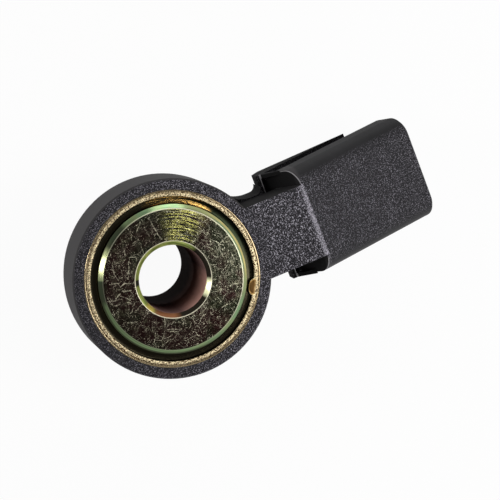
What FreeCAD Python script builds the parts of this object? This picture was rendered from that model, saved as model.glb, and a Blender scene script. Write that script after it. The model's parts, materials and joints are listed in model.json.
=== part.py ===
import FreeCAD, Part
import math
import os
from FreeCAD import Placement, Rotation, Vector

# Engine knock sensor, lying on the back end of its sleeve with the contact face up.
# +Z is the bolt bore's axis, +X runs along the connector arm, and the origin is the bore's centre,
# halfway along the sleeve. All sizes are in millimetres and all angles in degrees.

# Pressure sleeve
BORE_DIAMETER = 8.4
SLEEVE_LENGTH = 18.0
STEM_WALL = 2.2
FLANGE_DIAMETER = 22.0
FLANGE_THICKNESS = 2.6
RIM_WIDTH = 0.8
BOSS_PROUD = 0.5
BOSS_BEVEL_WIDTH = 0.62
BOSS_BEVEL_HEIGHT = 0.43
FACE_GROOVE_WIDTH = 0.9
FACE_GROOVE_DEPTH = 0.8
BORE_CHAMFER = 0.57
LOCK_GROOVE_DEPTH = 0.4
LOCK_GROOVE_WIDTH = 0.5
LOCK_GROOVE_HEIGHT = 0.85

# Stack of rings clamped between the flange and the nut
STACK_INSET = 1.4
INSULATOR_THICKNESS = 0.35
CONTACT_THICKNESS = 0.3
PIEZO_THICKNESS = 3.0
TUBE_WALL = 0.4
STACK_CLEARANCE = 0.05
SPRING_THICKNESS = 0.9
SPRING_CONE_HEIGHT = 0.5
NUT_WALL = 2.4
NUT_HEIGHT = 3.0
NUT_SLOTS = 4
NUT_SLOT_WIDTH = 2.4
NUT_SLOT_DEPTH = 0.8

# Round body of the housing
BODY_RIM_WALL = 1.4
BODY_RIM_HEIGHT = 8.0
BODY_BACK_WALL = 1.5
BODY_TAPER_HEIGHT = 4.0
BODY_END_WALL = 0.7
BODY_FLOOR = 1.2
FRONT_EDGE_CHAMFER = 0.2
SLEEVE_END_PROUD = 0.4

# Neck and web between the round body and the connector
NECK_WIDTH = 9.4
NECK_DEPTH = 5.0
CREASE_RADIUS = 1.8
WEB_MARGIN = 0.2
WEB_BODY_FILLET = 3.8
WEB_STRAIGHT = 0.63
WEB_BLOCK_FILLET = 0.8

# Block under the connector shroud
BLOCK_MARGIN = 0.2
BLOCK_LENGTH = 13.7
BLOCK_TOP_DEPTH = 5.8
BLOCK_BACK_THICKNESS = 2.9
BLOCK_END_THICKNESS = 0.75
BLOCK_BACK_CHAMFER = 1.1
RAIL_DEPTH = 6.9
BLOCK_BACK_WALL = 0.64
POCKET_RIB = 0.6
POCKET_CHEEK = 0.5
CHEEK_DEPTH = 3.3

# Connector shroud, measured along its own sloping axis from the crease
SHROUD_TILT = 24.2
SHROUD_LENGTH = 18.65
SHROUD_WIDTH = 13.5
SHROUD_THICKNESS = 8.2
SHROUD_FRONT_RADIUS = 2.4
SHROUD_BACK_RADIUS = 3.4
SHROUD_WALL = 1.1
MOUTH_EDGE_CHAMFER = 0.3
SOCKET_DEPTH = 13.0
LATCH_WIDTH = 4.0
LATCH_LENGTH = 2.6
LATCH_HEIGHT = 1.1
LATCH_SETBACK = 4.4

# Terminals and what is joined to them
PIN_PITCH = 4.0
PIN_WIDTH = 1.5
PIN_THICKNESS = 0.6
PIN_RECESS = 4.6
PIN_TIP_LENGTH = 1.0
PIN_TIP_WIDTH = 0.7
TERMINAL_SETBACK = 4.4
TAB_WIDTH = 1.4
TAB_OVERLAP = 1.8
TAB_STEP_GAP = 0.1
RESISTOR_DIAMETER = 1.7
RESISTOR_CLEARANCE = 0.25
RESISTOR_SETBACK = 0.8
LEAD_DIAMETER = 0.5

# Two places closer than this are the same place
NEAR = 1e-6

# Diameters that follow from the sizes above
STEM_DIAMETER = BORE_DIAMETER + 2 * STEM_WALL
BOSS_DIAMETER = FLANGE_DIAMETER - 2 * (RIM_WIDTH + FACE_GROOVE_WIDTH)
STACK_DIAMETER = FLANGE_DIAMETER - 2 * STACK_INSET
TUBE_DIAMETER = STEM_DIAMETER + 2 * TUBE_WALL
STACK_BORE = TUBE_DIAMETER + 2 * STACK_CLEARANCE
LOOSE_BORE = STEM_DIAMETER + 2 * STACK_CLEARANCE
NUT_DIAMETER = STEM_DIAMETER + 2 * NUT_WALL
BODY_DIAMETER = FLANGE_DIAMETER + 2 * BODY_RIM_WALL
BODY_BACK_DIAMETER = STACK_DIAMETER + 2 * BODY_BACK_WALL
BODY_END_DIAMETER = NUT_DIAMETER + 2 * BODY_END_WALL

# Heights, from the contact face down to the back of the sleeve
TOP = SLEEVE_LENGTH / 2
BACK = TOP - SLEEVE_LENGTH
BODY_BACK = BACK + SLEEVE_END_PROUD
FRONT = TOP - BOSS_PROUD
FLANGE_BACK = FRONT - FLANGE_THICKNESS
FRONT_INSULATOR_BACK = FLANGE_BACK - INSULATOR_THICKNESS
FRONT_CONTACT_BACK = FRONT_INSULATOR_BACK - CONTACT_THICKNESS
PIEZO_BACK = FRONT_CONTACT_BACK - PIEZO_THICKNESS
REAR_CONTACT_BACK = PIEZO_BACK - CONTACT_THICKNESS
REAR_INSULATOR_BACK = REAR_CONTACT_BACK - INSULATOR_THICKNESS
NUT_BACK = BODY_BACK + BODY_FLOOR
SPRING_BACK = NUT_BACK + NUT_HEIGHT
MASS_BACK = SPRING_BACK + SPRING_THICKNESS + SPRING_CONE_HEIGHT
TERMINAL_TOP = FRONT_CONTACT_BACK
TERMINAL_LEVEL = TERMINAL_TOP - PIN_THICKNESS / 2
TERMINAL_BOTTOM = TERMINAL_TOP - PIN_THICKNESS

# Distances from the bore's axis out along the arm, as far as the crease where the shroud starts
TILT = math.radians(SHROUD_TILT)
WEB_WIDTH = NECK_WIDTH + 2 * WEB_MARGIN
BLEND_Y = WEB_WIDTH / 2 + WEB_BODY_FILLET
BLEND_X = math.sqrt((BODY_DIAMETER / 2 + WEB_BODY_FILLET) ** 2 - BLEND_Y ** 2)
BLOCK_START = BLEND_X + WEB_STRAIGHT + WEB_BLOCK_FILLET
POCKET_LENGTH = BLOCK_BACK_WALL + SHROUD_THICKNESS * math.sin(TILT)
CREASE_DISTANCE = BLOCK_START + POCKET_LENGTH

# The block's side rails lie along the shroud, and its underside lies below them
BLOCK_WIDTH = SHROUD_WIDTH + 2 * BLOCK_MARGIN
RAIL_LENGTH = (BLOCK_LENGTH - POCKET_LENGTH) / math.cos(TILT)
RAIL_BACK_DEPTH = RAIL_DEPTH * math.cos(TILT)
BLOCK_BACK_DEPTH = RAIL_BACK_DEPTH + BLOCK_BACK_THICKNESS
BLOCK_END_DEPTH = RAIL_BACK_DEPTH + RAIL_LENGTH * math.sin(TILT) + BLOCK_END_THICKNESS

# Terminals bend where their level part meets the shroud's middle plane
BEND_ALONG = (FRONT - TERMINAL_LEVEL - SHROUD_THICKNESS / 2 * math.cos(TILT)) / math.sin(TILT)
BEND_DISTANCE = CREASE_DISTANCE + BEND_ALONG * math.cos(TILT) - SHROUD_THICKNESS / 2 * math.sin(TILT)
TERMINAL_START = BEND_DISTANCE - TERMINAL_SETBACK
TAB_REACH = TERMINAL_START + TAB_OVERLAP
TAB_STEP_DISTANCE = TERMINAL_START - TAB_STEP_GAP - CONTACT_THICKNESS
RESISTOR_LENGTH = PIN_PITCH - PIN_WIDTH - 2 * RESISTOR_CLEARANCE
RESISTOR_DISTANCE = BEND_DISTANCE - RESISTOR_SETBACK

AXIS = Vector(0, 0, 1)
SIDEWAYS = Vector(0, 1, 0)
SHROUD_PLACE = Placement(Vector(CREASE_DISTANCE, 0, FRONT), Rotation(SIDEWAYS, SHROUD_TILT))


def section(points):
    """Closed face in the XZ plane through (x, z) points."""
    corners = [Vector(x, 0, z) for x, z in points]
    return Part.Face(Part.makePolygon(corners + corners[:1]))


def turned(points):
    """Solid of revolution about the bore's axis through (radius, z) points."""
    return section(points).revolve(Vector(), AXIS, 360)


def slab(points, width, middle=0.0):
    """Solid of constant width along Y whose side view has the given (x, z) points."""
    solid = section(points).extrude(SIDEWAYS * width)
    solid.translate(SIDEWAYS * (middle - width / 2))
    return solid


def disc(diameter, low, high):
    """Plain cylinder on the bore's axis."""
    return Part.makeCylinder(diameter / 2, high - low, Vector(0, 0, low))


def ring(inner_diameter, outer_diameter, low, high):
    """Plain washer on the bore's axis."""
    return disc(outer_diameter, low, high).cut(disc(inner_diameter, low, high))


def lock_groove():
    """Triangular ring near the back end of the stem, which the plastic grips and seals in."""
    radius = STEM_DIAMETER / 2
    middle = BACK + LOCK_GROOVE_HEIGHT
    half = LOCK_GROOVE_WIDTH / 2
    return turned([(radius - LOCK_GROOVE_DEPTH, middle), (radius, middle - half), (radius, middle + half)])


def sleeve_outline():
    """The sleeve's outer form with no bore: stem, flange, face groove and bevelled boss."""
    flange_radius = FLANGE_DIAMETER / 2
    boss_radius = BOSS_DIAMETER / 2
    groove_radius = boss_radius + FACE_GROOVE_WIDTH
    groove_floor = FRONT - FACE_GROOVE_DEPTH
    stem_radius = STEM_DIAMETER / 2
    body = turned([
        (0, BACK),
        (stem_radius, BACK),
        (stem_radius, FLANGE_BACK),
        (flange_radius, FLANGE_BACK),
        (flange_radius, FRONT),
        (groove_radius, FRONT),
        (groove_radius, groove_floor),
        (boss_radius, groove_floor),
        (boss_radius, TOP - BOSS_BEVEL_HEIGHT),
        (boss_radius - BOSS_BEVEL_WIDTH, TOP),
        (0, TOP),
    ])
    return body.cut(lock_groove())


def pressure_sleeve():
    """Turned steel sleeve with a chamfered through bore."""
    radius = BORE_DIAMETER / 2
    wide = radius + BORE_CHAMFER
    bore = turned([
        (0, BACK),
        (wide, BACK),
        (radius, BACK + BORE_CHAMFER),
        (radius, TOP - BORE_CHAMFER),
        (wide, TOP),
        (0, TOP),
    ])
    return sleeve_outline().cut(bore)


def contact_ring(low, path, middle):
    """Thin contact disc with a bent tab, whose side view follows the path's points."""
    washer = ring(STACK_BORE, STACK_DIAMETER, low, low + CONTACT_THICKNESS)
    return washer.fuse(slab(path, TAB_WIDTH, middle)).removeSplitter()


def front_contact_ring():
    """Contact disc on the flange side, with a straight tab that lies on the left terminal."""
    low = FRONT_CONTACT_BACK
    high = low + CONTACT_THICKNESS
    root = STACK_DIAMETER / 2 - CONTACT_THICKNESS
    path = [(root, low), (TAB_REACH, low), (TAB_REACH, high), (root, high)]
    return contact_ring(low, path, PIN_PITCH / 2)


def rear_contact_ring():
    """Contact disc on the mass side, with a tab stepped up to the right terminal's underside."""
    low = REAR_CONTACT_BACK
    high = low + CONTACT_THICKNESS
    root = STACK_DIAMETER / 2 - CONTACT_THICKNESS
    outer = TAB_STEP_DISTANCE + CONTACT_THICKNESS
    path = [
        (root, low),
        (outer, low),
        (outer, TERMINAL_BOTTOM - CONTACT_THICKNESS),
        (TAB_REACH, TERMINAL_BOTTOM - CONTACT_THICKNESS),
        (TAB_REACH, TERMINAL_BOTTOM),
        (TAB_STEP_DISTANCE, TERMINAL_BOTTOM),
        (TAB_STEP_DISTANCE, high),
        (root, high),
    ]
    return contact_ring(low, path, -PIN_PITCH / 2)


def disc_spring():
    """Conical spring washer: its inner edge bears on the nut and its outer edge on the mass."""
    inner = LOOSE_BORE / 2
    outer = NUT_DIAMETER / 2
    return turned([
        (inner, SPRING_BACK),
        (outer, SPRING_BACK + SPRING_CONE_HEIGHT),
        (outer, MASS_BACK),
        (inner, MASS_BACK - SPRING_CONE_HEIGHT),
    ])


def ring_nut():
    """Round nut on the stem, with spanner slots in its rim."""
    nut = ring(STEM_DIAMETER, NUT_DIAMETER, NUT_BACK, SPRING_BACK)
    depth_from = NUT_DIAMETER / 2 - NUT_SLOT_DEPTH
    corner = Vector(depth_from, -NUT_SLOT_WIDTH / 2, NUT_BACK)
    slot = Part.makeBox(NUT_DIAMETER, NUT_SLOT_WIDTH, NUT_HEIGHT, corner)
    for number in range(NUT_SLOTS):
        turn = slot.copy()
        turn.rotate(Vector(), AXIS, (number + 0.5) * 360 / NUT_SLOTS)
        nut = nut.cut(turn)
    return nut


def terminal(side):
    """Bent blade: level where the tab is joined to it, then sloping out through the shroud."""
    middle = side * PIN_PITCH / 2
    miter = PIN_THICKNESS / 2 * math.tan(TILT / 2)
    tip = SHROUD_LENGTH - PIN_RECESS
    blade_top = (PIN_THICKNESS - SHROUD_THICKNESS) / 2
    blade_bottom = blade_top - PIN_THICKNESS
    blade = slab([
        (BEND_ALONG + miter, blade_top),
        (tip, blade_top),
        (tip, blade_bottom),
        (BEND_ALONG - miter, blade_bottom),
    ], PIN_WIDTH, middle)
    for edge in (-1, 1):
        blade = blade.cut(tip_facet(middle, edge, tip))
    blade.Placement = SHROUD_PLACE
    level = slab([
        (TERMINAL_START, TERMINAL_BOTTOM),
        (BEND_DISTANCE - miter, TERMINAL_BOTTOM),
        (BEND_DISTANCE + miter, TERMINAL_TOP),
        (TERMINAL_START, TERMINAL_TOP),
    ], PIN_WIDTH, middle)
    return blade.fuse(level).removeSplitter()


def tip_facet(middle, edge, tip):
    """Wedge that narrows one side of a blade's tip, in the shroud's own axes."""
    side = middle + edge * PIN_WIDTH / 2
    narrow = middle + edge * PIN_TIP_WIDTH / 2
    corners = [Vector(tip - PIN_TIP_LENGTH, side, 0), Vector(tip, side, 0), Vector(tip, narrow, 0)]
    face = Part.Face(Part.makePolygon(corners + corners[:1]))
    wedge = face.extrude(AXIS * SHROUD_THICKNESS)
    wedge.translate(AXIS * -SHROUD_THICKNESS)
    return wedge


def across(diameter, start, end):
    """Cylinder along Y between two distances from the middle, on the resistor's axis."""
    height = TERMINAL_BOTTOM - LEAD_DIAMETER / 2
    return Part.makeCylinder(diameter / 2, end - start, Vector(RESISTOR_DISTANCE, start, height), SIDEWAYS)


def bleed_resistor():
    """Small cylindrical resistor lying between the two terminals."""
    return across(RESISTOR_DIAMETER, -RESISTOR_LENGTH / 2, RESISTOR_LENGTH / 2)


def resistor_lead(side):
    """Straight wire from one end of the resistor, joined along its terminal's underside."""
    ends = sorted([side * RESISTOR_LENGTH / 2, side * (PIN_PITCH + PIN_WIDTH) / 2])
    return across(LEAD_DIAMETER, *ends)


def rounded_prism(length, start, inset):
    """Bar along X with the shroud's rounded section, drawn in from it by the inset."""
    half = SHROUD_WIDTH / 2 - inset
    top = -inset
    bottom = inset - SHROUD_THICKNESS
    bar = Part.makeBox(length, 2 * half, top - bottom, Vector(start, -half, bottom))
    upper = [edge for edge in long_edges(bar) if edge.CenterOfMass.z > (top + bottom) / 2]
    bar = bar.makeFillet(SHROUD_FRONT_RADIUS - inset, upper)
    lower = [edge for edge in long_edges(bar) if edge.CenterOfMass.z < bottom + NEAR]
    return bar.makeFillet(SHROUD_BACK_RADIUS - inset, lower)


def long_edges(bar):
    """Straight edges along X at the corners of a bar."""
    box = bar.BoundBox
    return [
        edge for edge in bar.Edges
        if abs(edge.BoundBox.XLength - box.XLength) < NEAR
        and abs(abs(edge.CenterOfMass.y) - box.YMax) < NEAR
    ]


def shroud():
    """Rounded connector shroud with a bevelled mouth edge and a latch ramp on its back."""
    body = rounded_prism(SHROUD_LENGTH, 0, 0)
    mouth = [edge for edge in body.Edges if edge.BoundBox.XMin > SHROUD_LENGTH - NEAR]
    body = body.makeChamfer(MOUTH_EDGE_CHAMFER, mouth)
    ramp_end = SHROUD_LENGTH - LATCH_SETBACK
    latch = slab([
        (ramp_end - LATCH_LENGTH, -SHROUD_THICKNESS),
        (ramp_end - LATCH_LENGTH, -SHROUD_THICKNESS - LATCH_HEIGHT),
        (ramp_end, -SHROUD_THICKNESS),
        (ramp_end, SHROUD_WALL - SHROUD_THICKNESS),
        (ramp_end - LATCH_LENGTH, SHROUD_WALL - SHROUD_THICKNESS),
    ], LATCH_WIDTH)
    body = body.fuse(latch)
    body.Placement = SHROUD_PLACE
    return body


def socket():
    """Hollow of the shroud, from its floor out past the mouth."""
    hollow = rounded_prism(2 * SOCKET_DEPTH, SHROUD_LENGTH - SOCKET_DEPTH, SHROUD_WALL)
    hollow.Placement = SHROUD_PLACE
    return hollow


def on_shroud(along, depth):
    """Side-view point at a distance along the shroud's axis and a depth below its face."""
    point = SHROUD_PLACE.multVec(Vector(along, 0, -depth))
    return (point.x, point.z)


def round_body():
    """Round part of the housing: a straight rim, then a narrower back that tapers to its end."""
    rim = BODY_DIAMETER / 2
    rim_back = FRONT - BODY_RIM_HEIGHT
    back = BODY_BACK_DIAMETER / 2
    return turned([
        (0, BODY_BACK),
        (BODY_END_DIAMETER / 2, BODY_BACK),
        (back, BODY_BACK + BODY_TAPER_HEIGHT),
        (back, rim_back),
        (rim, rim_back),
        (rim, FRONT - FRONT_EDGE_CHAMFER),
        (rim - FRONT_EDGE_CHAMFER, FRONT),
        (0, FRONT),
    ])


def neck():
    """Narrow flat bar, flush with the body's face, that runs to the shroud's crease."""
    crease = on_shroud(0, 0)
    foot = on_shroud(0, NECK_DEPTH / math.cos(TILT))
    start = FLANGE_DIAMETER / 2
    return slab([(start, FRONT), crease, foot, (start, foot[1])], NECK_WIDTH)


def crease_corner():
    """Sliver between the sharp crease and the arc that rounds it, over more than the neck's width."""
    half_turn = TILT / 2
    run = CREASE_RADIUS * math.tan(half_turn)
    start = Vector(CREASE_DISTANCE - run, 0, FRONT)
    end_x, end_z = on_shroud(run, 0)
    end = Vector(end_x, 0, end_z)
    middle = start + Vector(math.sin(half_turn), 0, math.cos(half_turn) - 1) * CREASE_RADIUS
    sharp = Vector(CREASE_DISTANCE, 0, FRONT)
    outline = Part.Wire([
        Part.Arc(start, middle, end).toShape(),
        Part.makeLine(end, sharp),
        Part.makeLine(sharp, start),
    ])
    sliver = Part.Face(outline).extrude(SIDEWAYS * SHROUD_WIDTH)
    sliver.translate(SIDEWAYS * -SHROUD_WIDTH / 2)
    return sliver


def web():
    """Deeper bar under the neck, blended into the round body and the block with large arcs."""
    half = WEB_WIDTH / 2
    rim = BODY_DIAMETER / 2
    leave = math.atan2(BLEND_Y, BLEND_X)
    middle_turn = (leave + math.pi / 2) / 2
    straight_end = BLEND_X + WEB_STRAIGHT
    halfway = math.sqrt(0.5)

    def edge_of(side):
        """One side's two arcs, from the round body to the block's end face."""
        off_body = Vector(rim * math.cos(leave), side * rim * math.sin(leave), 0)
        on_blend = Vector(
            BLEND_X - WEB_BODY_FILLET * math.cos(middle_turn),
            side * (BLEND_Y - WEB_BODY_FILLET * math.sin(middle_turn)), 0)
        off_blend = Vector(BLEND_X, side * half, 0)
        to_block = Vector(straight_end, side * half, 0)
        on_corner = Vector(
            straight_end + WEB_BLOCK_FILLET * halfway,
            side * (half + WEB_BLOCK_FILLET * (1 - halfway)), 0)
        at_block = Vector(BLOCK_START, side * (half + WEB_BLOCK_FILLET), 0)
        return [
            Part.Arc(off_body, on_blend, off_blend).toShape(),
            Part.makeLine(off_blend, to_block),
            Part.Arc(to_block, on_corner, at_block).toShape(),
        ]

    left = edge_of(1)
    right = edge_of(-1)
    across = Part.makeLine(left[-1].Vertexes[-1].Point, right[-1].Vertexes[-1].Point)
    inside = Part.makeLine(right[0].Vertexes[0].Point, left[0].Vertexes[0].Point)
    outline = Part.Wire(Part.__sortEdges__(left + [across] + right + [inside]))
    low = FRONT - BLOCK_BACK_DEPTH
    bar = Part.Face(outline).extrude(AXIS * (BLOCK_BACK_DEPTH - NECK_DEPTH))
    bar.translate(AXIS * low)
    return bar


def block():
    """Square-cornered block under the shroud, with a pocket each side of the neck."""
    end_x = BLOCK_START + BLOCK_LENGTH
    rib_inner = BLOCK_START + POCKET_RIB
    rib_top = FRONT - BLOCK_TOP_DEPTH
    body = slab([
        (BLOCK_START, FRONT - BLOCK_BACK_DEPTH + BLOCK_BACK_CHAMFER),
        (BLOCK_START, rib_top),
        (rib_inner, rib_top),
        on_shroud(0, CHEEK_DEPTH),
        on_shroud(0, RAIL_DEPTH),
        on_shroud(RAIL_LENGTH, RAIL_DEPTH),
        (end_x, FRONT - BLOCK_END_DEPTH),
        (BLOCK_START + BLOCK_BACK_CHAMFER, FRONT - BLOCK_BACK_DEPTH),
    ], BLOCK_WIDTH)
    foot_depth = (CREASE_DISTANCE - rib_inner) / math.sin(TILT)
    hollow = slab([
        (rib_inner, FRONT),
        on_shroud(0, 0),
        on_shroud(0, foot_depth),
    ], BLOCK_WIDTH - 2 * POCKET_CHEEK)
    return body.cut(hollow)


def face_groove_space():
    """Space over the sleeve's face groove and inside its rim, which the plastic leaves free."""
    diameter = BOSS_DIAMETER + 2 * FACE_GROOVE_WIDTH
    return disc(diameter, FRONT - FACE_GROOVE_DEPTH, TOP)


def stack_envelope():
    """Everything of the stack that the plastic flows round, with its bore filled."""
    contacts = front_contact_ring().fuse(rear_contact_ring())
    return contacts.fuse([
        disc(STACK_DIAMETER, MASS_BACK, FLANGE_BACK),
        disc(NUT_DIAMETER, SPRING_BACK, MASS_BACK),
        ring_nut(),
    ])


def housing(inserts):
    """The moulding: body, neck, web, block and shroud, less the socket and what it is moulded round."""
    solid = round_body().fuse([neck(), web(), block(), shroud()]).removeSplitter()
    solid = solid.cut([socket(), crease_corner()])
    return solid.cut([sleeve_outline(), face_groove_space(), stack_envelope()] + inserts).removeSplitter()


def build():
    """Every piece by its name."""
    left = terminal(1)
    right = terminal(-1)
    resistor = bleed_resistor()
    lead_left = resistor_lead(1)
    lead_right = resistor_lead(-1)
    return {
        "pressure_sleeve": pressure_sleeve(),
        "front_insulator": ring(STACK_BORE, STACK_DIAMETER, FRONT_INSULATOR_BACK, FLANGE_BACK),
        "insulating_tube": ring(STEM_DIAMETER, TUBE_DIAMETER, REAR_INSULATOR_BACK, FLANGE_BACK),
        "front_contact_ring": front_contact_ring(),
        "piezo_ring": ring(STACK_BORE, STACK_DIAMETER, PIEZO_BACK, FRONT_CONTACT_BACK),
        "rear_contact_ring": rear_contact_ring(),
        "rear_insulator": ring(STACK_BORE, STACK_DIAMETER, REAR_INSULATOR_BACK, REAR_CONTACT_BACK),
        "seismic_mass": ring(LOOSE_BORE, STACK_DIAMETER, MASS_BACK, REAR_INSULATOR_BACK),
        "disc_spring": disc_spring(),
        "ring_nut": ring_nut(),
        "terminal_left": left,
        "terminal_right": right,
        "bleed_resistor": resistor,
        "resistor_lead_left": lead_left,
        "resistor_lead_right": lead_right,
        "housing": housing([left, right, resistor, lead_left, lead_right]),
    }


os.makedirs("parts", exist_ok=True)
for name, shape in build().items():
    shape.exportStep("parts/" + name + ".step")
    print(name, round(shape.Volume, 2), "cubic millimetres in", len(shape.Solids), "solid")
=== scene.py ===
import json
import math
import random

import bmesh
import bpy
import numpy as np
from mathutils import Matrix, Vector

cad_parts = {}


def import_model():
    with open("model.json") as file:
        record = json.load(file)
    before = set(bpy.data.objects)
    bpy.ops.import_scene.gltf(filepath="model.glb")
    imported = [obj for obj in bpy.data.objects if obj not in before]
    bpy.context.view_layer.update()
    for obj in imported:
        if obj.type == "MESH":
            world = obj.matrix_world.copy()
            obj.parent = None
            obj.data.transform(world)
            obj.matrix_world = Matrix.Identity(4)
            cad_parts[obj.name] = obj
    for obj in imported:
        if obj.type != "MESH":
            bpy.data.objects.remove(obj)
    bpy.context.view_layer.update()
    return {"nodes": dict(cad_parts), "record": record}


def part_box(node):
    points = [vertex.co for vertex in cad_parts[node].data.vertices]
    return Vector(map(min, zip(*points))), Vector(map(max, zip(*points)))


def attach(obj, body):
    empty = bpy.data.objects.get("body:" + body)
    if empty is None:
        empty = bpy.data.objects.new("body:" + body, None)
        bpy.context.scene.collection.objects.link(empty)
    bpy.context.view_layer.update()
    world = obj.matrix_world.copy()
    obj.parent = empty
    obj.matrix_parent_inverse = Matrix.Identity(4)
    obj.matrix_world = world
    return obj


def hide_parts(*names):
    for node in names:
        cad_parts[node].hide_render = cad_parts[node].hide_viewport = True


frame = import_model()

# Sizes are in millimetres and are turned into metres where meshes, lamps and the camera are made.
MM = 0.001

# Camera, from the photograph's circles
CAMERA_TARGET = Vector((10.23, -0.35, 8.46))
CAMERA_DISTANCE = 300.9
CAMERA_AZIMUTH = 131.92
CAMERA_ELEVATION = 76.31
CAMERA_ROLL = 116.29
CAMERA_LENS = 175.87
CAMERA_NEAR = 10
CAMERA_FAR = 10000

# Lamps: name, direction from the object, distance, width, height and radiance. The strip beyond the arm is
# the key, the tall box opposite makes the highlights, and the third is a soft fill.
LAMPS = (
    ("strip", (0.54, -0.18, 0.82), 125, 45, 100, 5.5),
    ("tall", (-0.81, 0.43, 0.41), 420, 80, 210, 7.0),
    ("fill", (0.40, 0.82, 0.43), 420, 200, 140, 1.8),
)

# Sky, white up to one height of its direction and dim from another
SKY_WHITE_TO = 0.12
SKY_DIM_FROM = 0.8
SKY_DIM = 0.1

# Floor
FLOOR_HALF_SIDE = 3000
FLOOR_COLOUR = (0.9, 0.9, 0.9, 1.0)
FLOOR_ROUGHNESS = 0.9
FLOOR_GLOW = 0.95

# Turned sleeve, whose overall sizes come from the frame
SLEEVE_LOW, SLEEVE_HIGH = (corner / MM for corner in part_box("pressure_sleeve"))
SLEEVE_TOP = SLEEVE_HIGH.z
SLEEVE_BACK = SLEEVE_LOW.z
RIM_RADIUS = SLEEVE_HIGH.x
RIM_WIDTH = 0.8
RIM_DROP = 0.5
RIM_LINE = (0.2, 0.36)
RIM_LINE_DEPTH = 0.1
FLANGE_THICKNESS = 2.6
GROOVE_WIDTH = 0.9
GROOVE_DEPTH = 0.8
BOSS_BEVEL_WIDTH = 0.62
BOSS_BEVEL_HEIGHT = 0.43
BORE_RADIUS = 4.2
BORE_BEVEL = 0.57
STEM_RADIUS = 6.4
LATHE_STEPS = 720
FACE_RINGS = 72
ROUNDING_STEPS = 4

# Edges of the sleeve's surfaces, worked out from the sizes above
RIM_START = RIM_RADIUS - RIM_WIDTH
RIM_TOP = SLEEVE_TOP - RIM_DROP
BOSS_RADIUS = RIM_START - GROOVE_WIDTH
GROOVE_FLOOR = RIM_TOP - GROOVE_DEPTH
BEVEL_FOOT = SLEEVE_TOP - BOSS_BEVEL_HEIGHT
FACE_EDGE = BOSS_RADIUS - BOSS_BEVEL_WIDTH
BORE_EDGE = BORE_RADIUS + BORE_BEVEL

# Flake of plating pushed in over the groove, by its angle round the axis
FLAKE_ANGLE = -28.0
FLAKE_HALF_WIDTH = 6.0
FLAKE_REACH = 0.62
FLAKE_SINK = 0.12

# Turn about the bore's axis of the marks and tints on the metal
MARKS_TURN = -21.1

# Arcs of painted light and shade on the metal, in degrees round the axis: start, end, and how far they fade
# beyond them
# Painted highlight fanned over the face's turned lines
FAN_HIGHLIGHT = (75, 88, 20)
# Painted highlight on the groove's turned lines
GROOVE_HIGHLIGHT = (71, 100, 13)
# The bevel's bright arc and gleam are painted highlights; its gaps and shade are painted shade
BEVEL_HIGHLIGHT = (154, 176, 8)
BEVEL_GLEAM = (12, 48, 15)
BEVEL_SHADED_GAPS = ((135, 152, 5), (-179, -164, 5))
BEVEL_SHADE = (-160, -70, 20)

# Arcs of the bore's bevel, as above, each with its tint: a brown, a gold, a painted shade and a painted
# highlight
BORE_BEVEL_ARCS = (
    ((-116, -88, 12), (0.26, 0.11, 0.05)),
    ((-134, -126, 6), (0.66, 0.52, 0.12)),
    ((-179, -172, 4), (0.03, 0.035, 0.025)),
    ((-24, -4, 7), (1.0, 1.0, 0.62)),
)

# Tints of the plated steel
METAL = {
    "olive": (0.41, 0.44, 0.20),
    "green": (0.27, 0.43, 0.23),
    # The boss bevel's green in painted shade, its painted highlights, and painted shade in its gaps
    "green in painted shade": (0.17, 0.25, 0.12),
    "olive painted highlight": (0.60, 0.60, 0.32),
    "gleam": (0.90, 0.72, 0.28),
    "shaded_gap": (0.03, 0.035, 0.025),
    "turned line": (0.05, 0.05, 0.03),
    # Painted shade at the bevel's foot
    "bevel shade": (0.03, 0.03, 0.018),
    "face brown": (0.062, 0.026, 0.024),
    "face green": (0.040, 0.048, 0.025),
    "face patch": (0.26, 0.25, 0.15),
    "face shade": (0.015, 0.015, 0.012),
    # Painted highlight on the face's turned lines
    "highlight_fan": (1.0, 0.95, 0.28),
    "worn": (1.0, 0.95, 0.70),
    # Worn edges of the face, with a painted highlight
    "worn and lit edge": (1.0, 0.94, 0.72),
    "rim pits": (0.10, 0.05, 0.02),
    "rim": (1.0, 0.85, 0.54),
    "rim lip": (0.90, 0.72, 0.44),
    "rim lip in shade": (0.42, 0.33, 0.20),
    # Painted shade in the rim's turned line
    "rim line in shade": (0.10, 0.06, 0.03),
    "flake edge": (0.90, 0.55, 0.18),
    "flake": (0.17, 0.09, 0.03),
    # The bore in painted shade towards the back, and with painted light on one side
    "bore back in shade": (0.03, 0.018, 0.016),
    "bore front": (0.20, 0.12, 0.11),
    "bore lit": (0.50, 0.28, 0.23),
    "bore bevel shade": (0.02, 0.017, 0.012),
    "bore bevel dark green": (0.24, 0.33, 0.09),
    "bore bevel green": (0.60, 0.72, 0.19),
    "groove brown": (0.058, 0.049, 0.03),
    # The groove's green in painted shade, and its painted highlight
    "groove green in shade": (0.014, 0.018, 0.010),
    "groove highlight": (1.0, 0.60, 0.17),
}
METAL_ROUGHNESS = 0.17
WORN_ROUGHNESS = 0.3
METAL_SPECULAR = 0.0

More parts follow.
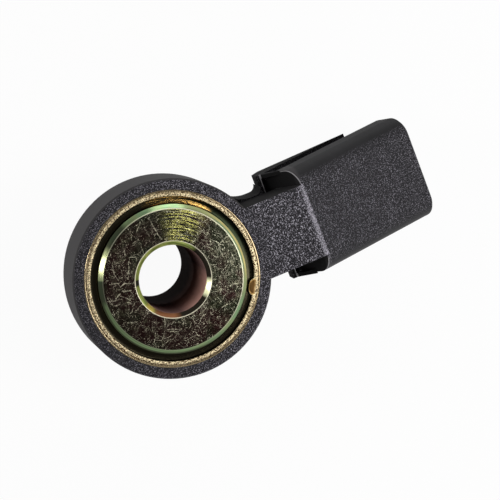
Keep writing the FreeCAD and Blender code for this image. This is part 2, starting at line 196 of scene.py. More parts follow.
# Nicks on the contact face: place along and across the marks' axis, angle, length and thickness
NICKS = (
    (-2.31, 6.30, -60, 3.2, 0.05), (0.06, -6.14, 0, 1.85, 0.08), (0.0, -6.42, 0, 1.2, 0.05),
    (-5.16, -5.16, 0, 0.2, 0.2), (-7.35, -0.34, 4, 1.2, 0.09), (-6.35, -0.55, 35, 0.8, 0.1),
    (-5.75, -0.35, 0, 0.9, 0.08), (-5.8, -1.23, 2, 1.1, 0.1), (-6.9, -1.9, 48, 0.9, 0.08),
    (-7.0, -2.95, 14, 0.75, 0.17), (-7.9, -2.5, -55, 1.1, 0.08), (-7.25, 0.74, -62, 1.7, 0.06),
    (-5.55, 1.57, 90, 1.6, 0.05), (-5.0, 2.9, 2, 0.75, 0.09), (2.4, -7.1, 25, 0.9, 0.09),
    (2.9, -6.8, -50, 0.7, 0.07), (5.9, -1.5, 80, 0.6, 0.12), (6.4, -3.4, 30, 0.9, 0.06),
    (5.6, 4.4, -25, 1.5, 0.05), (-4.3, 6.6, 70, 1.2, 0.05), (3.4, -5.0, 60, 1.4, 0.05),
)
NICK_BEND = 0.07
NICK_STRENGTH = 0.7

# Random hair scratches of the contact face
HAIRS = 1100
HAIR_SEED = 11
HAIR_START = BORE_RADIUS + 0.6
HAIR_LENGTH = 0.5
HAIR_LENGTH_SPREAD = 0.8
HAIR_LONGEST = 4.0
HAIR_BEND = 0.12
HAIR_FAINTEST = 0.15
HAIR_STRENGTH_RANGE = 0.75

# How far a scratch fades at its ends and sides, and how far it wavers
SCRATCH_END = 0.12
SCRATCH_SIDE = 0.045
SCRATCH_WAVER = 0.03

# Rounding of the moulding's edges
EDGE_ROUNDING = 0.22
EDGE_SEGMENTS = 3
EDGE_ANGLE = 18.0
FLAT_ANGLE = 0.5

# Places of the moulding: the neck's start and half width, the crease where the shroud slopes away, its height
# and the slope's cosine and sine, the start of the block's pockets, and the depth of the shroud's underside
NECK_START = 12.6
NECK_HALF_WIDTH = 4.7
CREASE = 19.1
CREASE_HEIGHT = 8.5
SLOPE_COS = 0.912
SLOPE_SIN = 0.41
POCKET_START = 10.5
UNDERSIDE_DEPTH = 5.2

# Where the grain carries further round the moulding's edge: from one y to another, and by how much
GRAINED_EDGE_Y = (-5.0, -9.0)
GRAINED_EDGE_GAIN = 0.3

# Painted highlight lines at the pockets, along the shroud's end and at the foot of the pocket: start, end and
# fade
END_ALONG = (0.04, 0.14, 0.03)
END_ACROSS = (-3.4, -0.03, 0.05)
END_BESIDE = (4.9, 5.2)
FOOT_X = (15.6, 15.8, 0.03)
FOOT_Z = (2.5, 2.8, 0.03)

# Tints of the black moulding
PLASTIC = {
    "side": (0.032, 0.0295, 0.0305),
    # Near-black painted shade on the shroud's sides
    "shroud side in shade": (0.006, 0.0056, 0.0066),
    "top": (0.010, 0.009, 0.0118),
    "cloud": (0.026, 0.025, 0.029),
    # Pale grain specks, which also stand in for the grain's glints
    "grain": (0.50, 0.475, 0.54),
    # Painted shade in the pockets and under the shroud
    "recess_shade": (0.004, 0.004, 0.004),
    # Edges lightened as wear and painted highlight
    "scuffed and lit edge": (0.16, 0.155, 0.165),
    # Painted highlight lines along the pocket's edges
    "highlight line": (0.40, 0.39, 0.40),
}
PLASTIC_ROUGHNESS = 0.5
PLASTIC_SPECULAR = 0.2

# Inner metal pieces, and inner film, ceramic and lacquer pieces: colour, roughness and scale of the grain
METALS = {
    "contact_brass": ((0.78, 0.60, 0.30), 0.3, 5.0),
    "mass_steel": ((0.45, 0.45, 0.46), 0.35, 6.0),
    "spring_steel": ((0.38, 0.38, 0.40), 0.4, 7.0),
    "terminal_tin": ((0.75, 0.75, 0.74), 0.28, 4.0),
    "lead_wire": ((0.70, 0.70, 0.70), 0.3, 5.0),
}
SOLIDS = {
    "insulator_film": ((0.72, 0.55, 0.25), 0.35, 4.0),
    "piezo_ceramic": ((0.78, 0.74, 0.62), 0.6, 9.0),
    "resistor_body": ((0.25, 0.50, 0.60), 0.3, 5.0),
}


class Nodes:
    """A material's node tree, with short calls for the nodes that the finishes use."""

    def __init__(self, name):
        self.material = bpy.data.materials.new(name)
        self.material.use_nodes = True
        self.tree = self.material.node_tree
        self.shader = self.tree.nodes["Principled BSDF"]
        place = self.tree.nodes.new("ShaderNodeTexCoord")
        to_millimetres = self.tree.nodes.new("ShaderNodeVectorMath")
        to_millimetres.operation = "SCALE"
        to_millimetres.inputs["Scale"].default_value = 1 / MM
        self.tree.links.new(place.outputs["Object"], to_millimetres.inputs[0])
        self.place = to_millimetres.outputs[0]

    def put(self, value, socket):
        """Links a socket, or sets a plain value."""
        if isinstance(value, bpy.types.NodeSocket):
            self.tree.links.new(value, socket)
        elif isinstance(value, tuple) and len(value) == 3 and socket.type == "RGBA":
            socket.default_value = (*value, 1.0)
        else:
            socket.default_value = value

    def math(self, operation, first, second=0.0, clamp=False):
        node = self.tree.nodes.new("ShaderNodeMath")
        node.operation = operation
        node.use_clamp = clamp
        self.put(first, node.inputs[0])
        self.put(second, node.inputs[1])
        return node.outputs[0]

    def times(self, product, *others):
        """Product of two or more values."""
        for other in others:
            product = self.math("MULTIPLY", product, other)
        return product

    def plus(self, first, second):
        return self.math("ADD", first, second)

    def minus(self, first, second):
        return self.math("SUBTRACT", first, second)

    def most(self, first, second):
        """The larger of two values."""
        return self.math("MAXIMUM", first, second)

    def noise(self, scale, detail=2.0, roughness=0.5, place=None, distortion=0.0):
        node = self.tree.nodes.new("ShaderNodeTexNoise")
        self.put(place or self.place, node.inputs["Vector"])
        node.inputs["Scale"].default_value = scale
        node.inputs["Detail"].default_value = detail
        node.inputs["Roughness"].default_value = roughness
        node.inputs["Distortion"].default_value = distortion
        return node.outputs["Fac"]

    def window(self, value, low, high, soft):
        """1 between low and high, falling to 0 over the soft distance outside them."""
        rise = self.ramp(value, low - soft, low)
        fall = self.ramp(value, high + soft, high)
        return self.times(rise, fall)

    def ramp(self, value, start, end, low=0.0, high=1.0):
        """Maps start to low and end to high, held outside them."""
        node = self.tree.nodes.new("ShaderNodeMapRange")
        self.put(value, node.inputs["Value"])
        node.inputs["From Min"].default_value = start
        node.inputs["From Max"].default_value = end
        node.inputs["To Min"].default_value = low
        node.inputs["To Max"].default_value = high
        return node.outputs["Result"]

    def mix(self, share, first, second):
        """Colour between two colours."""
        node = self.tree.nodes.new("ShaderNodeMix")
        node.data_type = "RGBA"
        self.put(share, node.inputs[0])
        self.put(first, node.inputs[6])
        self.put(second, node.inputs[7])
        return node.outputs[2]

    def parts(self, vector=None):
        node = self.tree.nodes.new("ShaderNodeSeparateXYZ")
        self.put(vector or self.place, node.inputs[0])
        return node.outputs

    def vector(self, x, y, z=0.0):
        node = self.tree.nodes.new("ShaderNodeCombineXYZ")
        for value, socket in zip((x, y, z), node.inputs):
            self.put(value, socket)
        return node.outputs[0]

    def turned(self, vector, angle):
        """Vector turned about the bore's axis, by an angle in degrees."""
        node = self.tree.nodes.new("ShaderNodeVectorRotate")
        node.rotation_type = "Z_AXIS"
        self.put(vector, node.inputs["Vector"])
        node.inputs["Angle"].default_value = math.radians(angle)
        return node.outputs[0]

    def square_sum(self, first, second):
        return self.plus(self.times(first, first), self.times(second, second))

    def radius(self):
        """Distance from the bore's axis."""
        x, y, _ = self.parts()
        return self.math("SQRT", self.square_sum(x, y))

    def normal(self):
        """The surface's own normal, in the object's axes."""
        return self.tree.nodes.new("ShaderNodeNewGeometry").outputs["Normal"]

    def bump(self, height, strength, distance, under=None):
        """Bump of a height pattern, whose depth is in millimetres."""
        node = self.tree.nodes.new("ShaderNodeBump")
        node.inputs["Distance"].default_value = distance * MM
        self.put(strength, node.inputs["Strength"])
        self.put(height, node.inputs["Height"])
        if under is not None:
            self.tree.links.new(under, node.inputs["Normal"])
        return node.outputs["Normal"]

    def soft_edges(self, radius):
        """Normal rounded over the edges nearer than a radius in millimetres."""
        node = self.tree.nodes.new("ShaderNodeBevel")
        node.samples = 6
        node.inputs["Radius"].default_value = radius * MM
        return node.outputs["Normal"]

    def finish(self, **values):
        """Sets the shader's own inputs, given by name with underscores for spaces."""
        for name, value in values.items():
            self.put(value, self.shader.inputs[name.replace("_", " ")])
        return self.material


class PlatedSteel(Nodes):
    """Yellow zinc plate: olive, brown and green tints, turned rings, scratches on the face, and painted
    highlights and shade.
    """

    def __init__(self):
        """Works out where a point lies on the sleeve, and the patterns that several tints share."""
        super().__init__("plated_steel")
        self.z = self.parts()[2]
        self.out = self.radius()
        self.marks = self.turned(self.place, -MARKS_TURN)
        u, v = self.parts(self.marks)[:2]
        # How far a point lies towards 50 degrees round the axis, and towards 151
        self.side = self.math("DIVIDE", self.plus(u, self.times(v, 1.2)), self.out)
        self.lean = self.math("DIVIDE", self.minus(self.times(v, 0.55), u), self.out)
        self.round_axis = self.math("DEGREES", self.math("ARCTAN2", v, u))

        flat = self.ramp(self.parts(self.normal())[2], 0.95, 0.99)
        self.face = self.times(flat, self.ramp(self.z, SLEEVE_TOP - 0.03, SLEEVE_TOP - 0.01))
        beyond_groove = self.ramp(self.out, RIM_START - FLAKE_REACH - 0.1, RIM_START - FLAKE_REACH)
        self.rim = self.times(beyond_groove, self.ramp(self.z, RIM_TOP - 0.25, RIM_TOP - 0.1))
        self.bore = self.ramp(self.out, BORE_RADIUS + 0.05, BORE_RADIUS + 0.01)
        by_bore = self.ramp(self.out, BORE_EDGE + 0.02, BORE_EDGE - 0.04)
        self.bore_bevel = self.times(by_bore, self.ramp(self.z, 0.0, 1.0))
        under_bevel = self.ramp(self.z, BEVEL_FOOT + 0.02, BEVEL_FOOT - 0.06)
        self.groove = self.times(under_bevel, self.ramp(self.out, BORE_RADIUS + 3, BORE_RADIUS + 4))
        self.lip = self.ramp(self.out, RIM_RADIUS - RIM_LINE[0] - 0.03, RIM_RADIUS - RIM_LINE[0])

        self.cloud = self.noise(0.25, 3.0, 0.6)
        round_place = self.vector(self.times(self.out, 5.5), self.times(self.round_axis, 0.035))
        self.rings = self.noise(1.0, 2.0, 0.6, place=round_place)
        self.line = self.ramp(self.rings, 0.44, 0.58)
        self.grit = self.ramp(self.noise(3.0, 2.0), 0.35, 0.5, 0.3, 1.4)

    def arc(self, start, end, fade):
        """1 between two angles round the axis, fading beyond them."""
        return self.window(self.round_axis, start, end, fade)

    def boss_tint(self):
        """Tint of the boss's bevel, with painted shade on the side away from 50 degrees round the axis,
        painted highlights and painted shade in arcs round it, and of whatever has no tint of its own.
        """
        tint = self.mix(self.ramp(self.cloud, 0.4, 0.6), METAL["olive"], METAL["green"])
        # Painted shade on the side away from 50 degrees
        tint = self.mix(self.ramp(self.side, 1.2, -1.0), tint, METAL["green in painted shade"])
        # Painted highlights on two arcs of the bevel
        tint = self.mix(self.times(self.arc(*BEVEL_HIGHLIGHT), 0.6), tint, METAL["olive painted highlight"])
        low_bevel = self.window(self.out, FACE_EDGE + 0.34, FACE_EDGE + 0.5, 0.06)
        tint = self.mix(self.times(self.arc(*BEVEL_GLEAM), low_bevel, 0.8), tint, METAL["gleam"])
        # Painted shade in the bevel's gaps
        shaded_gaps = self.most(*(self.arc(*shaded_gap) for shaded_gap in BEVEL_SHADED_GAPS))
        tint = self.mix(self.times(shaded_gaps, 0.85), tint, METAL["shaded_gap"])
        tint = self.mix(self.ramp(self.line, 0.0, 1.0, 0.35, 0.0), tint, METAL["turned line"])
        # Painted shade at the bevel's foot, over one arc
        foot = self.ramp(self.out, FACE_EDGE + 0.32, FACE_EDGE + 0.46)
        return self.mix(self.times(foot, self.arc(*BEVEL_SHADE), 0.85), tint, METAL["bevel shade"])

    def face_tint(self):
        """Clouded contact face, painted in shade towards 50 degrees round the axis, with a painted highlight
        fanned over its turned lines.
        """
        greener = self.ramp(self.plus(self.cloud, self.times(self.side, 0.06)), 0.44, 0.60)
        tint = self.mix(greener, METAL["face brown"], METAL["face green"])
        patch = self.noise(1.1, 4.0, 0.65, distortion=0.6)
        tint = self.mix(self.ramp(patch, 0.54, 0.74), tint, METAL["face patch"])
        # Painted shade towards 50 degrees
        tint = self.mix(self.ramp(self.side, -0.2, 1.3, 0.0, 0.55), tint, METAL["face shade"])
        # Painted highlight on the turned lines in one arc
        highlight_fan = self.arc(*FAN_HIGHLIGHT)
        return self.mix(self.times(self.line, highlight_fan, highlight_fan, self.grit), tint, METAL["highlight_fan"])

    def rim_tint(self):
        """Sanded gold rim, with its smooth lip painted in shade towards 50 degrees round the axis, painted
        shade in its turned line, and the flake.
        """
        sand = self.ramp(self.noise(4.6, 2.0, 0.9), 0.46, 0.51)
        tint = self.mix(sand, METAL["rim pits"], METAL["rim"])
        # The lip in painted shade towards 50 degrees
        lip_tint = self.mix(self.ramp(self.side, -0.2, 1.0), METAL["rim lip"], METAL["rim lip in shade"])
        tint = self.mix(self.lip, tint, lip_tint)
        # Painted shade in the turned line, deeper away from 50 degrees
        in_line = self.window(self.out, RIM_RADIUS - RIM_LINE[1], RIM_RADIUS - RIM_LINE[0], 0.06)
        shaded = self.ramp(self.side, 0.7, -0.3, 0.1, 0.6)
        tint = self.mix(self.times(in_line, shaded), tint, METAL["rim line in shade"])
        flake_x, flake_y = self.parts(self.turned(self.marks, MARKS_TURN - FLAKE_ANGLE))[:2]
        flake_x = self.math("DIVIDE", self.minus(flake_x, RIM_START), FLAKE_REACH)
        flake = self.square_sum(flake_x, flake_y)
        inner = self.ramp(flake_x, 0.5, 0.0)
        tint = self.mix(self.times(self.ramp(flake, 1.0, 0.85), inner), tint, METAL["flake edge"])
        return self.mix(self.times(self.ramp(flake, 0.8, 0.6), inner), tint, METAL["flake"])

    def bore_tint(self):
        """Dull bore, with painted shade deepening towards the back and a painted pool of light on one side.
        """
        # Painted shade deepening towards the back of the bore
        tint = self.mix(self.ramp(self.z, -4.0, 6.0), METAL["bore back in shade"], METAL["bore front"])
        # Painted light on one side of the bore
        lit = self.times(self.ramp(self.lean, -0.80, -1.05), self.ramp(self.z, -3.0, 5.0))
        return self.mix(lit, tint, METAL["bore lit"])

    def bore_bevel_tint(self):
        """Green bevel of the bore, painted in shade on one side, with short arcs of other tints, among them a
        painted shade and a painted highlight.
        """
        green = self.mix(self.line, METAL["bore bevel dark green"], METAL["bore bevel green"])
        # Painted shade on one side of the bore's bevel
        tint = self.mix(self.ramp(self.lean, -0.2, 0.1), METAL["bore bevel shade"], green)
        # Arcs of brown and gold, a painted shade and a painted highlight
        for arc, colour in BORE_BEVEL_ARCS:
            tint = self.mix(self.arc(*arc), tint, colour)
        return tint

    def groove_tint(self):
        """Dark groove, painted in shade towards 50 degrees round the axis, with a painted orange highlight on
        its turned lines.
        """
        # Painted highlight on the turned lines in one arc
        glow = self.times(self.line, self.arc(*GROOVE_HIGHLIGHT), self.grit)
        # Painted shade towards 50 degrees
        tint = self.mix(self.ramp(self.side, 0.9, 1.45), METAL["groove brown"], METAL["groove green in shade"])
        return self.mix(glow, tint, METAL["groove highlight"])

    def wear(self):
        """How worn the contact face is: flecks, and the scratches written on the mesh."""
        scratched = self.tree.nodes.new("ShaderNodeAttribute")
        scratched.attribute_name = "scratched"
        sparkle = self.noise(6.5, 2.0, 0.8)
        crowded = self.ramp(self.noise(1.6, 2.0), 0.35, 0.65, 0.15, 1.0)
        fleck = self.times(self.ramp(sparkle, 0.57, 0.72), crowded)
        broken = self.ramp(sparkle, 0.42, 0.58, 0.35, 1.2)
        scratch = self.math("MULTIPLY", scratched.outputs["Fac"], broken, clamp=True)
        worn = self.times(self.most(fleck, scratch), self.face)
        return self.times(worn, self.ramp(self.side, -0.4, 1.0, 1.0, 0.78))

    def worn_and_lit_edges(self):
        """How bright the edges of the contact face are: worn, with a painted highlight that grows towards 50
        degrees on the outer edge.
        """
        outer = self.window(self.out, FACE_EDGE + 0.02, FACE_EDGE + 0.08, 0.05)
        # Painted highlight growing towards 50 degrees
        outer = self.times(outer, self.ramp(self.side, -0.6, 1.0, 0.15, 1.0))
        inner = self.window(self.out, BORE_EDGE - 0.02, BORE_EDGE + 0.02, 0.05)
        return self.times(self.most(outer, inner), self.ramp(self.z, SLEEVE_TOP - 0.3, SLEEVE_TOP - 0.2))

    def made(self):
        """The finished material."""
        worn = self.wear()
        # Worn edges, also carrying a painted highlight
        edges = self.worn_and_lit_edges()
        colour = self.mix(self.face, self.boss_tint(), self.face_tint())
        colour = self.mix(self.bore_bevel, colour, self.bore_bevel_tint())
        colour = self.mix(worn, colour, METAL["worn"])
        # Worn edges, lightened further as painted highlight
        colour = self.mix(self.times(edges, 0.85), colour, METAL["worn and lit edge"])
        colour = self.mix(self.groove, colour, self.groove_tint())
        colour = self.mix(self.rim, colour, self.rim_tint())
        colour = self.mix(self.bore, colour, self.bore_tint())

        sandy = self.times(self.rim, self.minus(1.0, self.lip))
        dull = self.most(self.most(worn, sandy), self.most(self.bore, edges))
        rough = self.plus(METAL_ROUGHNESS, self.times(dull, WORN_ROUGHNESS))
        plated = self.minus(1.0, self.times(self.bore, 0.96))
        bare = self.times(self.most(self.bore_bevel, edges), 0.45)
        plated = self.math("SUBTRACT", plated, bare, clamp=True)
        surface = self.bump(self.rings, self.times(self.face, 0.35), 0.03)
        sanding = self.plus(0.05, self.times(sandy, 0.7))
        surface = self.bump(self.noise(9.0, 3.0, 0.7), sanding, 0.05, surface)
        surface = self.bump(worn, -0.4, 0.01, surface)
        return self.finish(Base_Color=colour, Metallic=plated, Roughness=rough, Normal=surface,
                           Specular_IOR_Level=METAL_SPECULAR)


def grained_plastic():
    """Black moulding: leathery on the neck, finer on the shroud and face, smooth on the sides; pale specks
    that also stand in for glints, painted shade in the pockets, under the shroud and on its sides, and
    painted highlights along the crease and edges.
    """
    nodes = Nodes("black_moulding")
    x, y, z = nodes.parts()
    normal_z = nodes.parts(nodes.normal())[2]
    carried_round = nodes.ramp(y, *GRAINED_EDGE_Y, 0.0, GRAINED_EDGE_GAIN)
    top = nodes.ramp(nodes.plus(normal_z, carried_round), 0.72, 0.92)
    neck_width = nodes.window(y, -NECK_HALF_WIDTH, NECK_HALF_WIDTH, 0.1)
    on_neck = nodes.times(nodes.window(x, NECK_START, CREASE - 0.1, 0.4), neck_width)
    on_shroud = nodes.ramp(x, CREASE + 0.1, CREASE + 0.5)
    crease = nodes.times(nodes.window(x, CREASE - 0.1, CREASE + 0.1, 0.3), neck_width)

    # Distances along the shroud and up from its sloping face
    out = nodes.minus(x, CREASE)
    up = nodes.minus(z, CREASE_HEIGHT)
    along = nodes.minus(nodes.times(out, SLOPE_COS), nodes.times(up, SLOPE_SIN))
    across = nodes.plus(nodes.times(out, SLOPE_SIN), nodes.times(up, SLOPE_COS))

    # Pockets below the crease and the shroud's underside, darkened as painted shade
    sunk = nodes.most(nodes.ramp(z, CREASE_HEIGHT - 0.2, CREASE_HEIGHT - 0.9), nodes.ramp(normal_z, 0.7, 0.3))
    sunk = nodes.times(sunk, nodes.ramp(along, 0.03, 0.0))
    underside = nodes.ramp(across, 0.2 - UNDERSIDE_DEPTH, -0.2 - UNDERSIDE_DEPTH)
    recess_shade = nodes.times(nodes.ramp(x, POCKET_START - 0.1, POCKET_START + 0.1), nodes.most(sunk, underside))
    # Painted highlight lines on the pocket's edge roundings
    end_line = nodes.times(nodes.window(along, *END_ALONG), nodes.window(across, *END_ACROSS),
                           nodes.ramp(nodes.math("ABSOLUTE", y), *END_BESIDE))
    foot_line = nodes.times(nodes.window(x, *FOOT_X), nodes.window(z, *FOOT_Z))

    stretched = nodes.vector(nodes.times(x, 1.4), nodes.times(y, 0.9), z)
    leather = nodes.noise(5.2, 1.0, 0.6, place=stretched, distortion=0.4)
    fine = nodes.noise(7.2, 1.0, 0.8)
    soft = nodes.noise(0.4, 2.0)
    height = nodes.plus(nodes.times(leather, on_neck), fine)
    strength = nodes.plus(0.05, nodes.times(nodes.plus(0.5, nodes.times(on_neck, 0.5)), top))

    # Pale grain specks, standing in for glints too, fainter towards -x as painted shade
    fine_grain = nodes.times(nodes.ramp(fine, 0.55, 0.66), nodes.ramp(on_shroud, 0.0, 1.0, 0.75, 0.43),
                             nodes.ramp(soft, 0.35, 0.65, 1.15, 0.8), nodes.ramp(x, -12.0, 6.0, 0.4, 1.0),
                             nodes.ramp(on_neck, 0.0, 1.0, 1.0, 0.4))
    leather_grain = nodes.times(nodes.ramp(leather, 0.575, 0.63, 0.0, 0.9), on_neck)
    # Painted highlight speckled along the crease
    crease_highlight = nodes.times(crease, nodes.ramp(fine, 0.44, 0.58, 0.1, 1.25))
    # All pale specks, with the crease's painted highlight and the specks' glints
    grain = nodes.plus(nodes.plus(fine_grain, leather_grain), crease_highlight)
    grain = nodes.math("MULTIPLY", grain, top, clamp=True)

    edge_normal = nodes.soft_edges(0.13)
    straight = nodes.tree.nodes.new("ShaderNodeVectorMath")
    straight.operation = "DOT_PRODUCT"
    nodes.put(edge_normal, straight.inputs[0])
    nodes.put(nodes.normal(), straight.inputs[1])
    # Edges where the rounded normal turns, lightened as wear and painted highlight
    scuffed_and_lit = nodes.times(nodes.ramp(straight.outputs["Value"], 0.97, 0.85), nodes.ramp(soft, 0.4, 0.6))

    # The shroud's sides take a darker tint as painted shade
    side = nodes.mix(on_shroud, PLASTIC["side"], PLASTIC["shroud side in shade"])
    colour = nodes.mix(top, side, PLASTIC["top"])
    colour = nodes.mix(nodes.ramp(soft, 0.3, 0.7, 0.0, 0.25), colour, PLASTIC["cloud"])
    colour = nodes.mix(grain, colour, PLASTIC["grain"])
    # Painted shade in the pockets and under the shroud
    colour = nodes.mix(nodes.times(recess_shade, 0.8), colour, PLASTIC["recess_shade"])
    colour = nodes.mix(nodes.times(scuffed_and_lit, 0.5), colour, PLASTIC["scuffed and lit edge"])
    # Painted highlight lines
    colour = nodes.mix(nodes.times(nodes.most(end_line, foot_line), 0.7), colour, PLASTIC["highlight line"])
    surface = nodes.bump(height, strength, 0.2, edge_normal)
    upright = nodes.ramp(normal_z, 0.5, 0.1)
    rougher = nodes.most(nodes.times(recess_shade, 0.5), nodes.times(upright, 0.24))
    rough = nodes.plus(PLASTIC_ROUGHNESS, rougher)
    return nodes.finish(Base_Color=colour, Roughness=rough, Normal=surface,
                        Specular_IOR_Level=PLASTIC_SPECULAR)


def plain(name, colour, roughness, grain, metallic, stain_scale, stain_dark, depth):
    """Finish of an inner piece: a base colour with slight stains and a fine surface."""
    nodes = Nodes(name)
    stain = nodes.ramp(nodes.noise(stain_scale, 3.0), 0.3, 0.7)
    dark = tuple(stain_dark * part for part in colour)
    surface = nodes.bump(nodes.noise(grain, 2.0), depth, 0.03)
    tint = nodes.mix(stain, dark, colour)
    return nodes.finish(Base_Color=tint, Metallic=metallic, Roughness=roughness, Normal=surface)


MATERIALS = {"plated_steel": PlatedSteel().made(), "black_moulding": grained_plastic()}
for slot, look in METALS.items():
    MATERIALS[slot] = plain(slot, *look, metallic=1.0, stain_scale=0.8, stain_dark=0.78, depth=0.15)
for slot, look in SOLIDS.items():
    MATERIALS[slot] = plain(slot, *look, metallic=0.0, stain_scale=0.6, stain_dark=0.85, depth=0.12)


def rounded(corners):
    """Closed (radius, height) outline from (radius, height, rounding) corners, with arcs for roundings."""
    outline = []
    for index, (r, z, rounding) in enumerate(corners):
        here = Vector((r, z))
        if not rounding:
            outline.append(here)
            continue
        before = (Vector(corners[index - 1][:2]) - here).normalized()
        after = (Vector(corners[(index + 1) % len(corners)][:2]) - here).normalized()
        half = before.angle(after) / 2
        start = rounding / math.tan(half)
        centre = here + (before + after).normalized() * rounding / math.sin(half)
        first = (here + before * start - centre).normalized()
        last = (here + after * start - centre).normalized()
        for step in range(ROUNDING_STEPS + 1):
            share = step / ROUNDING_STEPS
            outline.append(centre + first.slerp(last, share) * rounding)
    return outline


def flake_push(angle, radius, height):
    """How far a point of the rim is pushed inward and down by the flake."""
    off = (math.degrees(angle) - FLAKE_ANGLE) / FLAKE_HALF_WIDTH
    if abs(off) >= 1 or radius > RIM_START + 0.15 or radius < RIM_START - 0.01:
        return 0.0
    if height < GROOVE_FLOOR + 0.15:
        return 0.0
    return math.sqrt(1 - off * off)


def pressure_sleeve():
    """The sleeve turned from its outline, with small roundings on every edge that shows."""
    line_outer = RIM_RADIUS - RIM_LINE[0]
    line_inner = RIM_RADIUS - RIM_LINE[1]
    outline = rounded([
        (BORE_RADIUS, SLEEVE_BACK + BORE_BEVEL, 0),
        (BORE_EDGE, SLEEVE_BACK, 0.05),
        (STEM_RADIUS, SLEEVE_BACK, 0.08),
        (STEM_RADIUS, RIM_TOP - FLANGE_THICKNESS, 0),
        (RIM_RADIUS, RIM_TOP - FLANGE_THICKNESS, 0),
        (RIM_RADIUS, RIM_TOP, 0.12),
        (line_outer, RIM_TOP, 0.04),
        (line_outer, RIM_TOP - RIM_LINE_DEPTH, 0),
        (line_inner, RIM_TOP - RIM_LINE_DEPTH, 0),
        (line_inner, RIM_TOP, 0.04),
        (RIM_START, RIM_TOP, 0.1),
        (RIM_START, GROOVE_FLOOR, 0.12),
        (BOSS_RADIUS, GROOVE_FLOOR, 0.12),
        (BOSS_RADIUS, BEVEL_FOOT, 0.14),
        (FACE_EDGE, SLEEVE_TOP, 0.2),
        *[(FACE_EDGE + (BORE_EDGE - FACE_EDGE) * ring / FACE_RINGS, SLEEVE_TOP, 0)
          for ring in range(2, FACE_RINGS - 1)],
        (BORE_EDGE, SLEEVE_TOP, 0.08),
        (BORE_RADIUS, SLEEVE_TOP - BORE_BEVEL, 0.1),
    ])
    mesh = bmesh.new()
    turns = []
    for step in range(LATHE_STEPS):
        angle = 2 * math.pi * step / LATHE_STEPS
        signed = angle - 2 * math.pi if angle > math.pi else angle
        turn = []
        for point in outline:
            push = flake_push(signed, point.x, point.y)
            r = (point.x - push * FLAKE_REACH) * MM
            height = (point.y - push * FLAKE_SINK) * MM
            turn.append(mesh.verts.new((r * math.cos(angle), r * math.sin(angle), height)))
        turns.append(turn)
    for step, turn in enumerate(turns):
        following = turns[(step + 1) % LATHE_STEPS]
        for index in range(len(turn)):
            after = (index + 1) % len(turn)
            mesh.faces.new((turn[index], following[index], following[after], turn[after]))
    bmesh.ops.recalc_face_normals(mesh, faces=mesh.faces)
    piece = piece_from("sleeve_turned", mesh, "plated_steel", "pressure_sleeve")
    scratch_face(piece.data)


def scratch_face(data):
    """Writes how scratched each point of the contact face is: the nicks, and random hairs."""
    places = np.empty(3 * len(data.vertices))
    data.vertices.foreach_get("co", places)
    places = places.reshape(-1, 3) / MM
    on_face = np.flatnonzero(places[:, 2] > SLEEVE_TOP - 0.02)
    places = places[on_face]
    turn = math.radians(-MARKS_TURN)
    u = places[:, 0] * math.cos(turn) - places[:, 1] * math.sin(turn)
    v = places[:, 0] * math.sin(turn) + places[:, 1] * math.cos(turn)
    depth = np.zeros(len(places))
    draw = random.Random(HAIR_SEED)
    marks = [(*nick, NICK_BEND * draw.uniform(-1, 1), NICK_STRENGTH) for nick in NICKS]
    for _ in range(HAIRS):
        angle = draw.uniform(0, 2 * math.pi)
        radius = draw.uniform(HAIR_START, BOSS_RADIUS)
        length = min(HAIR_LONGEST, HAIR_LENGTH * math.exp(draw.gauss(0, HAIR_LENGTH_SPREAD)))
        across, up = radius * math.cos(angle), radius * math.sin(angle)
        angle = draw.uniform(0, 180)
        bend = draw.gauss(0, HAIR_BEND)
        strength = HAIR_FAINTEST + HAIR_STRENGTH_RANGE * draw.random() ** 2
        marks.append((across, up, angle, length, 0.0, bend, strength))
    for across, up, angle, length, thickness, bend, strength in marks:
        turn = math.radians(angle)
        along = (u - across) * math.cos(turn) + (v - up) * math.sin(turn)
        off = (v - up) * math.cos(turn) - (u - across) * math.sin(turn)
        off = off + bend * along * along + SCRATCH_WAVER * np.sin(5 * along + angle)
        in_length = np.clip((length / 2 + 0.08 - np.abs(along)) / SCRATCH_END, 0, 1)
        in_width = np.clip((thickness / 4 + SCRATCH_SIDE - np.abs(off)) / SCRATCH_SIDE, 0, 1)
        depth = np.maximum(depth, strength * in_length * in_width)
    scratched = np.zeros(len(data.vertices))
    scratched[on_face] = depth
    data.attributes.new("scratched", "FLOAT", "POINT").data.foreach_set("value", scratched)


def soften_housing():
    """Rounds the moulding's edges, with modifiers that leave the CAD mesh as it is."""
    moulding = frame["nodes"]["housing"]
    flat = moulding.modifiers.new("flat_faces", "DECIMATE")
    flat.decimate_type = "DISSOLVE"
    flat.angle_limit = math.radians(FLAT_ANGLE)
    edges = moulding.modifiers.new("edge_rounding", "BEVEL")
    edges.width = EDGE_ROUNDING * MM
    edges.segments = EDGE_SEGMENTS
    edges.limit_method = "ANGLE"
    edges.angle_limit = math.radians(EDGE_ANGLE)
    edges.harden_normals = True


def piece_from(name, mesh, slot, stood_for):
    """A smooth piece that rides on the root body and replaces a CAD node, with its slot's finish."""
    data = bpy.data.meshes.new(name)
    mesh.to_mesh(data)
    mesh.free()
    for polygon in data.polygons:
        polygon.use_smooth = True
    data.materials.append(MATERIALS[slot])
    piece = bpy.data.objects.new(name, data)
    bpy.context.scene.collection.objects.link(piece)
    weighted = piece.modifiers.new("weighted_normals", "WEIGHTED_NORMAL")
    weighted.mode = "FACE_AREA"
    weighted.weight = 90
    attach(piece, "root")
    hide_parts(stood_for)
    return piece


def finish_nodes():
    """Gives every CAD node its slot's material."""
    for row in frame["record"]["subparts"]:
        data = frame["nodes"][row["node"]].data
        data.materials.clear()
        data.materials.append(MATERIALS[row["material_slot"]])


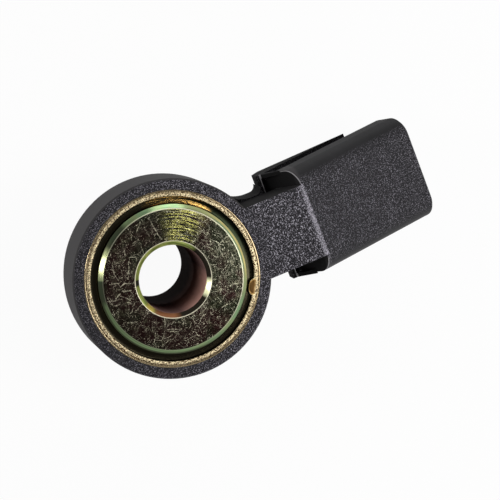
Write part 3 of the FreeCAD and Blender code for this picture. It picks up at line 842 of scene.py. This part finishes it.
def floor():
    """Pale floor that the sleeve's end rests on, seen as white with a faint shadow."""
    side = FLOOR_HALF_SIDE * MM
    mesh = bmesh.new()
    corners = [(-side, -side), (side, -side), (side, side), (-side, side)]
    mesh.faces.new([mesh.verts.new((x, y, SLEEVE_BACK * MM)) for x, y in corners])
    data = bpy.data.meshes.new("floor")
    mesh.to_mesh(data)
    mesh.free()
    material = bpy.data.materials.new("floor")
    material.use_nodes = True
    tree = material.node_tree
    matt = tree.nodes["Principled BSDF"]
    matt.inputs["Base Color"].default_value = FLOOR_COLOUR
    matt.inputs["Roughness"].default_value = FLOOR_ROUGHNESS
    rays = tree.nodes.new("ShaderNodeLightPath")
    glow = tree.nodes.new("ShaderNodeEmission")
    share = tree.nodes.new("ShaderNodeMath")
    share.operation = "MULTIPLY"
    share.inputs[1].default_value = FLOOR_GLOW
    seen = rays.outputs["Is Camera Ray"]
    for other in ("Is Glossy Ray", "Is Transmission Ray"):
        either = tree.nodes.new("ShaderNodeMath")
        either.operation = "MAXIMUM"
        tree.links.new(seen, either.inputs[0])
        tree.links.new(rays.outputs[other], either.inputs[1])
        seen = either.outputs[0]
    blend = tree.nodes.new("ShaderNodeMixShader")
    tree.links.new(seen, share.inputs[0])
    tree.links.new(share.outputs[0], blend.inputs[0])
    tree.links.new(matt.outputs[0], blend.inputs[1])
    tree.links.new(glow.outputs[0], blend.inputs[2])
    tree.links.new(blend.outputs[0], tree.nodes["Material Output"].inputs[0])
    data.materials.append(material)
    plane = bpy.data.objects.new("floor", data)
    bpy.context.scene.collection.objects.link(plane)


def softbox(name, direction, distance, width, height, radiance):
    """Area lamp that looks at the object from a direction, with its size in millimetres."""
    lamp = bpy.data.lights.new(name, "AREA")
    lamp.shape = "RECTANGLE"
    lamp.size = width * MM
    lamp.size_y = height * MM
    lamp.energy = radiance * math.pi * lamp.size * lamp.size_y
    lit = bpy.data.objects.new(name, lamp)
    away = Vector(direction).normalized()
    lit.location = CAMERA_TARGET * MM + away * distance * MM
    lit.rotation_mode = "QUATERNION"
    lit.rotation_quaternion = away.to_track_quat("Z", "Y")
    lit.visible_camera = False
    bpy.context.scene.collection.objects.link(lit)


def world():
    """Studio that is white round the horizon and dim overhead."""
    sky = bpy.data.worlds.new("studio")
    sky.use_nodes = True
    tree = sky.node_tree
    place = tree.nodes.new("ShaderNodeTexCoord")
    parts = tree.nodes.new("ShaderNodeSeparateXYZ")
    shade = tree.nodes.new("ShaderNodeMapRange")
    shade.inputs["From Min"].default_value = SKY_WHITE_TO
    shade.inputs["From Max"].default_value = SKY_DIM_FROM
    shade.inputs["To Min"].default_value = 1.0
    shade.inputs["To Max"].default_value = SKY_DIM
    tree.links.new(place.outputs["Generated"], parts.inputs[0])
    tree.links.new(parts.outputs["Z"], shade.inputs["Value"])
    background = tree.nodes["Background"]
    tree.links.new(shade.outputs["Result"], background.inputs["Strength"])
    background.inputs["Color"].default_value = (1.0, 1.0, 1.0, 1.0)
    bpy.context.scene.world = sky


def camera():
    """Camera at the photograph's angle, distance and roll."""
    azimuth = math.radians(CAMERA_AZIMUTH)
    elevation = math.radians(CAMERA_ELEVATION)
    flat = math.cos(elevation)
    towards = Vector((flat * math.cos(azimuth), flat * math.sin(azimuth), math.sin(elevation)))
    data = bpy.data.cameras.new("camera")
    data.lens = CAMERA_LENS
    data.clip_start = CAMERA_NEAR * MM
    data.clip_end = CAMERA_FAR * MM
    eye = bpy.data.objects.new("camera", data)
    turn = towards.to_track_quat("Z", "Y").to_matrix().to_4x4()
    roll = Matrix.Rotation(math.radians(CAMERA_ROLL), 4, "Z")
    place = Matrix.Translation((CAMERA_TARGET + towards * CAMERA_DISTANCE) * MM)
    eye.matrix_world = place @ turn @ roll
    bpy.context.scene.collection.objects.link(eye)
    bpy.context.scene.camera = eye


finish_nodes()
soften_housing()
pressure_sleeve()
floor()
world()
for settings in LAMPS:
    softbox(*settings)
camera()
bpy.context.scene.view_settings.view_transform = "Standard"

bpy.context.view_layer.update()
